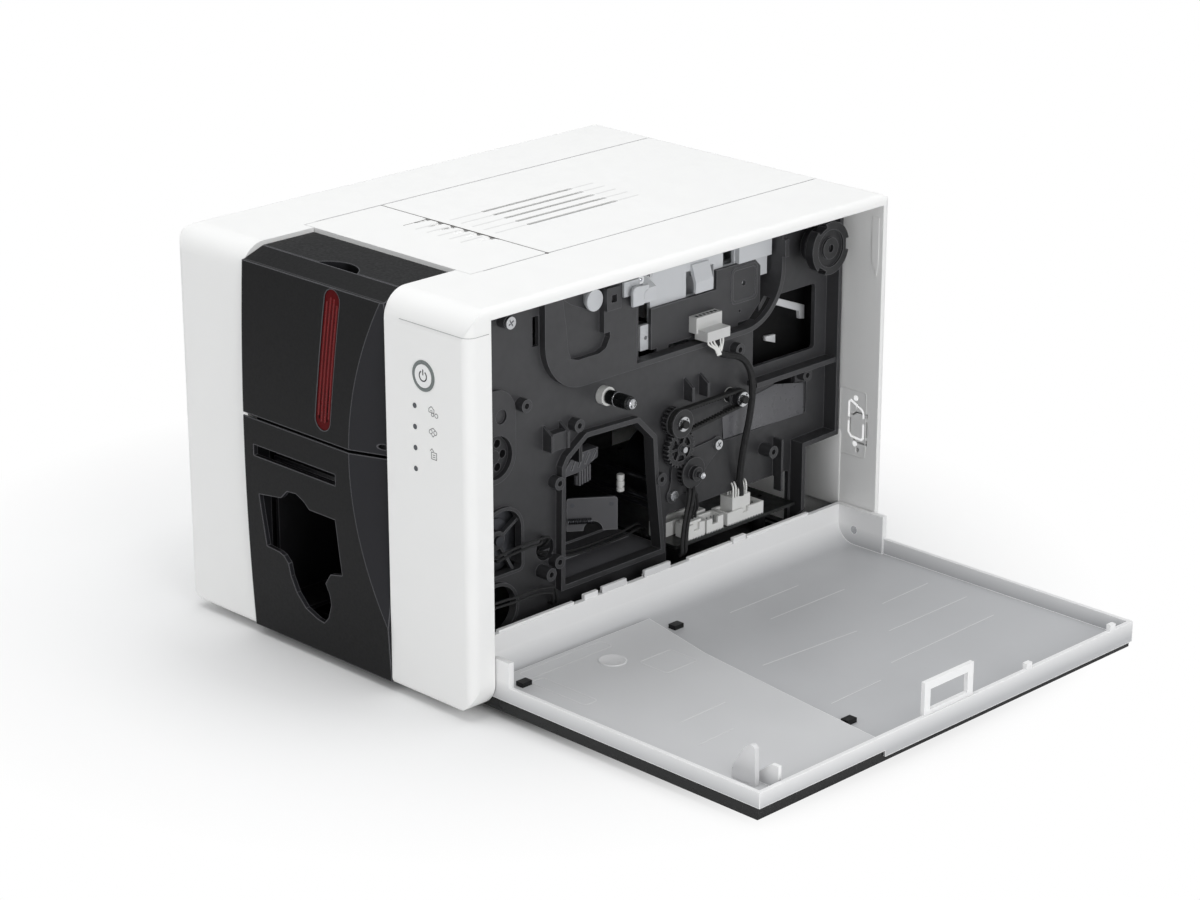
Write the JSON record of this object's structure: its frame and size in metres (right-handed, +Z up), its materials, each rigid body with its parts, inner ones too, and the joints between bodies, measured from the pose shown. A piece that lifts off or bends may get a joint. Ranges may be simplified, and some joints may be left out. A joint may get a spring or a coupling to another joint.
{
  "type": "id card printer",
  "caption": "Desktop printer for plastic id cards with a tall white housing, black front with card slot and hopper, hinged lids and a side service door lying open over the belt and gear drive.",
  "frame": {"origin": "middle of the base tray's flat underside; the rubber feet reach 4 mm below it", "axes": "+X to the right seen from the front, where the side door lies open; +Y to the back; +Z up"},
  "size_m": [0.367, 0.2883, 0.195],
  "materials": {
    "white_shell": "fine grained white moulding",
    "black_front": "fine grained black moulding",
    "black_gloss": "smooth black moulding",
    "grey_door": "light grey inner moulding",
    "chassis_black": "black powder coat",
    "inner_black": "black moulding",
    "light_grey": "light grey moulding",
    "window_red": "dark red tinted",
    "rubber_black": "matt",
    "ivory": "natural nylon",
    "steel": "bright",
    "board_dark": "dark circuit board",
    "board_green": "circuit board",
    "wire_black": "sleeved wire",
    "ribbon": "wound film",
    "metal_dark": "dark motor can",
    "clear_guide": "clear smoke light guide"
  },
  "bodies": {
    "frame": {"housing": "white_shell", "base_tray": "inner_black", "rubber_feet": "rubber_black", "front_panel": "black_front", "hood_hinge_pins": "steel", "top_plate": "black_front", "front_top_cover": "white_shell", "lid_hinge_pins": "steel", "right_chassis_plate": "chassis_black", "left_chassis_plate": "chassis_black", "card_guide": "inner_black", "card_feeder_tray": "inner_black", "card_hopper": "inner_black", "cleaning_roller_collar": "ivory", "shaft_bushes": "ivory", "timing_belt": "rubber_black", "idler_post": "steel", "feed_motor": "metal_dark", "motor_plate": "chassis_black", "motor_screws": "steel", "feeder_motor": "metal_dark", "feeder_disc": "inner_black", "head_bracket": "light_grey", "sensor_board": "inner_black", "sensor_connector": "ivory", "main_board": "board_dark", "board_connectors": "ivory", "board_plugs": "ivory", "sensor_cable": "wire_black", "motor_cable": "wire_black", "feeder_wires": "wire_black", "chassis_screws": "steel", "button_ring": "metal_dark", "button_switch": "inner_black", "button_board": "board_green", "status_light_pipes": "clear_guide", "door_hinge_pins": "steel", "rear_sockets": "inner_black"},
    "side_door": {"side_door": "grey_door", "door_panel": "black_gloss", "door_clips": "inner_black"},
    "lid": {"ribbon_lid": "white_shell", "printhead_carrier": "light_grey", "printhead": "metal_dark"},
    "hood": {"feeder_hood": "black_front", "level_window": "window_red"},
    "button": {"power_button": "light_grey"},
    "transport": {"transport_roller": "rubber_black", "belt_pulley": "inner_black", "pulley_clip": "steel"},
    "platen": {"platen_roller": "rubber_black", "small_pulley": "inner_black", "small_pulley_clip": "steel"},
    "idler": {"idler_gear": "inner_black"},
    "motor_rotor": {"motor_gear": "inner_black"},
    "cleaning": {"cleaning_roller": "rubber_black"},
    "supply": {"supply_hub": "inner_black", "supply_spool": "ribbon"},
    "takeup": {"takeup_spool": "light_grey"}
  },
  "joints": [
    {"name": "door_hinge", "type": "hinge", "parent": "frame", "child": "side_door", "pos_m": [0.092, 0, 0.013], "axis": [0, -1, 0], "range_deg": [0, 90]},
    {"name": "lid_hinge", "type": "hinge", "parent": "frame", "child": "lid", "pos_m": [0, 0.1365, 0.1845], "axis": [-1, 0, 0], "range_deg": [0, 80]},
    {"name": "hood_hinge", "type": "hinge", "parent": "frame", "child": "hood", "pos_m": [0, -0.139, 0.1143], "axis": [1, 0, 0], "range_deg": [0, 55]},
    {"name": "button_press", "type": "slide", "parent": "frame", "child": "button", "axis": [0, 1, 0], "range_m": [0, 0.0008], "stiffness_N_per_m": 300},
    {"name": "transport_spin", "type": "hinge", "parent": "frame", "child": "transport", "pos_m": [0.07, 0.0187, 0.0957], "axis": [1, 0, 0], "continuous": true},
    {"name": "platen_spin", "type": "hinge", "parent": "frame", "child": "platen", "pos_m": [0.07, 0.061, 0.0982], "axis": [1, 0, 0], "continuous": true},
    {"name": "idler_spin", "type": "hinge", "parent": "frame", "child": "idler", "pos_m": [0.07, 0.02271, 0.08075], "axis": [1, 0, 0], "continuous": true},
    {"name": "motor_spin", "type": "hinge", "parent": "frame", "child": "motor_rotor", "pos_m": [0.07, 0.03055, 0.0666], "axis": [1, 0, 0], "continuous": true},
    {"name": "cleaning_spin", "type": "hinge", "parent": "frame", "child": "cleaning", "pos_m": [0.07, -0.027, 0.1195], "axis": [1, 0, 0], "continuous": true},
    {"name": "supply_spin", "type": "hinge", "parent": "frame", "child": "supply", "pos_m": [0.07, 0.116, 0.165], "axis": [1, 0, 0], "continuous": true},
    {"name": "takeup_spin", "type": "hinge", "parent": "frame", "child": "takeup", "pos_m": [0.07, -0.0354, 0.1684], "axis": [1, 0, 0], "continuous": true}
  ],
  "couplings": [
    {"joint": "platen_spin", "follows": "transport_spin", "ratio": 1.5556},
    {"joint": "idler_spin", "follows": "transport_spin", "ratio": -0.69231},
    {"joint": "motor_spin", "follows": "transport_spin", "ratio": 0.9}
  ]
}
